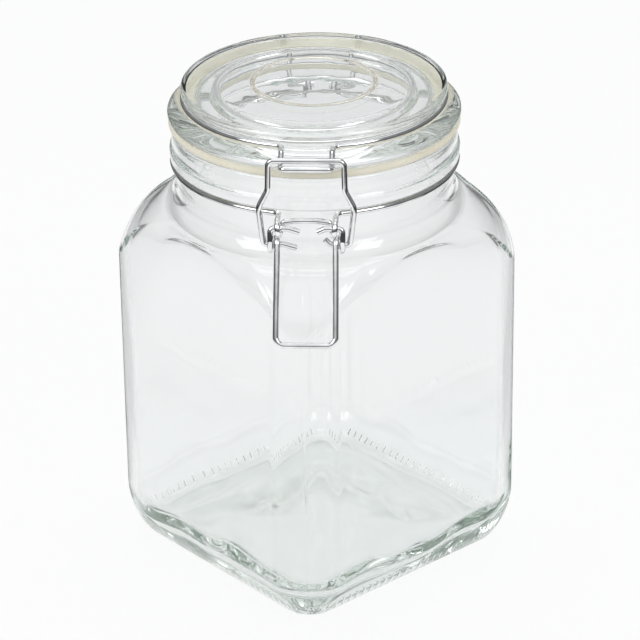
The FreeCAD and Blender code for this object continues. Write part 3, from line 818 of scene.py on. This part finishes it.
tree.node("ShaderNodeOutputMaterial", Surface=tree.node("ShaderNodeMixShader", i0=seen, i1=matt, i2=white))
floor_mesh.materials.append(paper)

ROOM_TINT = (0.97, 0.985, 1.0, 1)
ROOM_LEVEL = 0.65
ROOM_THROUGH = 0.92
HORIZON = 0.2
HORIZON_EDGE = (0.12, 0.42)
LOW_WALLS = 0.22
CEILING = 0.95
BAND_SIDE_EDGE = (0.55, 0.8)
BAND_BACK_EDGE = (-0.3, 0.15)
BAND_LOW_EDGE = (0.22, 0.5)
world = bpy.data.worlds.new("studio")
bpy.context.scene.world = world
world.use_nodes = True
world.node_tree.nodes.clear()
sky = Socket(world.node_tree)
sideways, backward, upward = sky.node("ShaderNodeTexCoord", out="Generated").split()
straight, glossy, through = ray_kinds(sky)
lit_band = (abs(sideways).faded(*BAND_SIDE_EDGE) * backward.faded(*BAND_BACK_EDGE)
            * (1.0 - upward.faded(*BAND_LOW_EDGE)))
mirrored_room = lit_band * (CEILING - LOW_WALLS) + LOW_WALLS
through_room = ROOM_THROUGH - upward.faded(*HORIZON_EDGE) * (ROOM_THROUGH - HORIZON)
level = through * through_room + (1.0 - through) * (glossy * mirrored_room + (1.0 - glossy) * ROOM_LEVEL)
room = sky.node("ShaderNodeBackground", Color=ROOM_TINT, Strength=level)
clean = sky.node("ShaderNodeBackground", Color=WHITE, Strength=1.0)
sky.node("ShaderNodeOutputWorld", Surface=sky.node("ShaderNodeMixShader", i0=straight, i1=room, i2=clean))

LAMP_TARGET = Vector((0, 0, 0.08))


def soft_lamp(name, place, size, power):
    data = bpy.data.lights.new(name, "AREA")
    data.shape = "RECTANGLE"
    data.size, data.size_y, data.energy = size[0], size[1], power
    lamp = bpy.data.objects.new(name, data)
    lamp.location = place
    lamp.rotation_euler = (LAMP_TARGET - Vector(place)).to_track_quat("-Z", "Y").to_euler()
    bpy.context.scene.collection.objects.link(lamp)


soft_lamp("left_softbox", place=(-0.95, -0.75, 0.95), size=(0.55, 0.75), power=4.5)
soft_lamp("right_softbox", place=(0.95, -0.85, 1.0), size=(0.5, 0.7), power=4)
soft_lamp("top_softbox", place=(0, 0.35, 1.5), size=(1.1, 0.8), power=4.5)

AZIMUTH = math.radians(3.1)
ELEVATION = math.radians(26.6)
ROLL = math.radians(-0.75)
DISTANCE = 1.206
AIM_HEIGHT = 0.082
AIM_ASIDE = 0.001
LENS = 197.0
SENSOR_WIDTH = 36.0
right = Vector((math.cos(AZIMUTH), math.sin(AZIMUTH), 0))
away = Vector((math.sin(AZIMUTH) * math.cos(ELEVATION), -math.cos(AZIMUTH) * math.cos(ELEVATION),
               math.sin(ELEVATION)))
aim = Vector((0, 0, AIM_HEIGHT)) + right * AIM_ASIDE
camera_data = bpy.data.cameras.new("camera")
camera_data.lens = LENS
camera_data.sensor_width = SENSOR_WIDTH
camera = bpy.data.objects.new("camera", camera_data)
turned = Matrix.Rotation(ROLL, 3, away) @ Matrix((right, away.cross(right), away)).transposed()
camera.matrix_world = Matrix.Translation(aim + away * DISTANCE) @ turned.to_4x4()
bpy.context.scene.collection.objects.link(camera)
bpy.context.scene.camera = camera
bpy.context.scene.view_settings.view_transform = "Standard"

# Thick glass shows black bands where light runs out of bounces.
BOUNCES = 160
BOUNCES_THROUGH = 64
bpy.context.scene.cycles.max_bounces = BOUNCES
bpy.context.scene.cycles.glossy_bounces = BOUNCES
bpy.context.scene.cycles.transmission_bounces = BOUNCES_THROUGH
